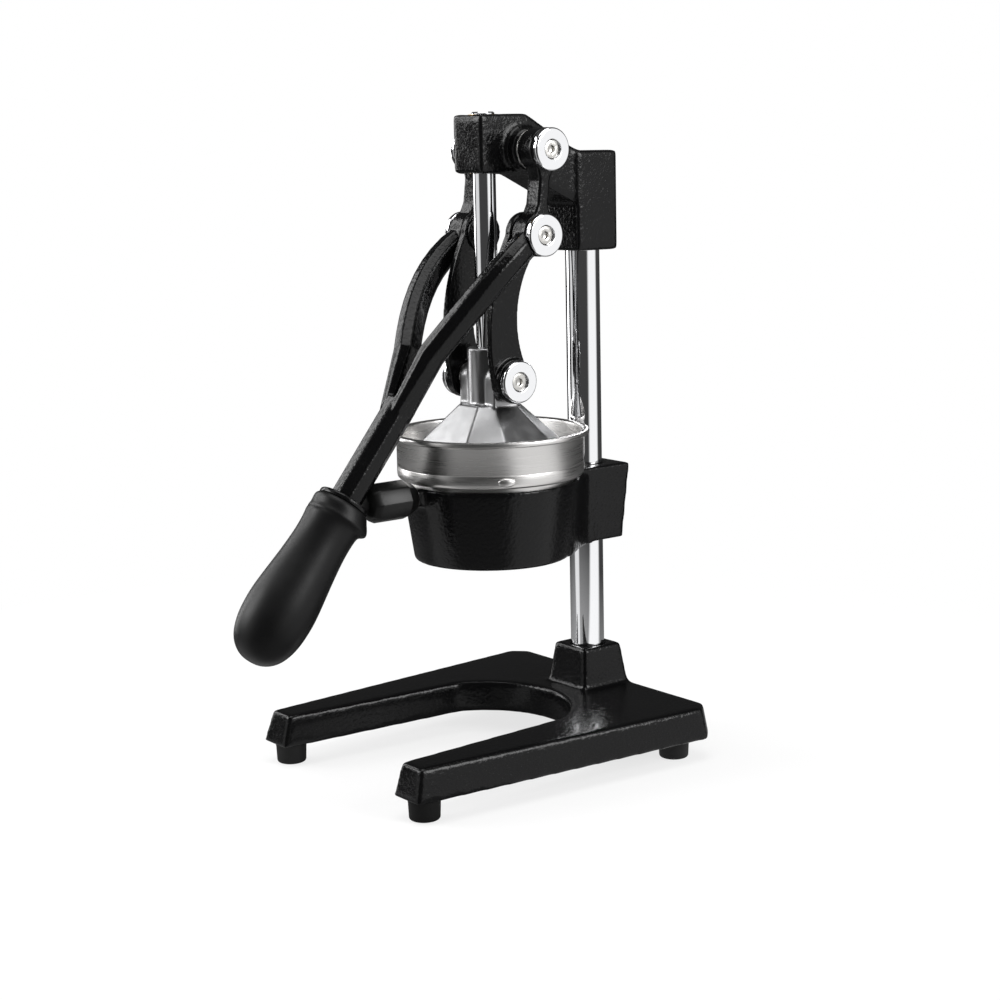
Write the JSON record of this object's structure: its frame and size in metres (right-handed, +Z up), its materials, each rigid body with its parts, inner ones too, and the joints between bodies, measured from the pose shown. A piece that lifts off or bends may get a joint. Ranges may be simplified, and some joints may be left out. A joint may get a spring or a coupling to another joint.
{
  "type": "citrus press juicer",
  "caption": "Hand lever citrus press: forked lever and curved links lower a cone on a sliding rod into a strainer cup on a bowl bracket, on a column over an open cast base",
  "frame": {"origin": "middle of the bounding box on the floor under the feet", "axes": "+Z up, -Y the front where the handle is, +X the right of someone behind the press"},
  "size_m": [0.2002, 0.28, 0.3985],
  "materials": {
    "black_enamel": "glossy hammered",
    "chrome": "polished",
    "plain_steel": "turned",
    "nickel_screw": "nickel plated",
    "stainless": "brushed",
    "cast_aluminium": "satin cast",
    "bronze": "turned",
    "grip_plastic": "satin",
    "black_rubber": "moulded"
  },
  "bodies": {
    "frame": {"base_casting": "black_enamel", "bowl_bracket": "black_enamel", "bracket_set_screws": "nickel_screw", "bumper": "black_rubber", "column": "chrome", "column_bolt": "nickel_screw", "column_washer": "nickel_screw", "foot_front_left": "black_rubber", "foot_front_right": "black_rubber", "foot_rear_left": "black_rubber", "foot_rear_right": "black_rubber", "foot_screws": "nickel_screw", "guide_bush": "bronze", "head_casting": "black_enamel", "head_set_screws": "nickel_screw", "reamer_cone": "stainless", "strainer_cup": "stainless", "top_cap_left": "chrome", "top_cap_right": "chrome", "top_cap_screws": "nickel_screw", "top_pivot_shaft": "plain_steel", "top_washer_left": "plain_steel", "top_washer_right": "plain_steel"},
    "lever": {"grip": "grip_plastic", "grip_ferrule": "black_enamel", "lever_fork": "black_enamel", "middle_cap_left": "chrome", "middle_cap_right": "chrome", "middle_cap_screws": "nickel_screw", "middle_pin_left": "plain_steel", "middle_pin_right": "plain_steel"},
    "press": {"guide_rod": "chrome", "lower_cap_left": "chrome", "lower_cap_right": "chrome", "lower_cap_screws": "nickel_screw", "lower_pin_left": "plain_steel", "lower_pin_right": "plain_steel", "lower_washer_left": "plain_steel", "lower_washer_right": "plain_steel", "press_cone": "cast_aluminium"},
    "links": {"link_left": "black_enamel", "link_right": "black_enamel", "middle_stud_left": "plain_steel", "middle_stud_right": "plain_steel"}
  },
  "joints": [
    {"name": "lever_hinge", "type": "hinge", "parent": "frame", "child": "lever", "pos_m": [0, 0.06118, 0.3757], "axis": [-1, 0, 0], "range_deg": [0, 90]},
    {"name": "press_slide", "type": "slide", "parent": "frame", "child": "press", "axis": [0, 0, 1], "range_m": [0, 0.06079]},
    {"name": "links_hinge", "type": "hinge", "parent": "press", "child": "links", "pos_m": [0, 0.04217, 0.2384], "axis": [1, 0, 0], "range_deg": [0, 29.25]}
  ],
  "couplings": [
    {"joint": "press_slide", "follows": "lever_hinge", "m_per_rad": 0.038635},
    {"joint": "links_hinge", "follows": "lever_hinge", "ratio": 0.3244}
  ]
}
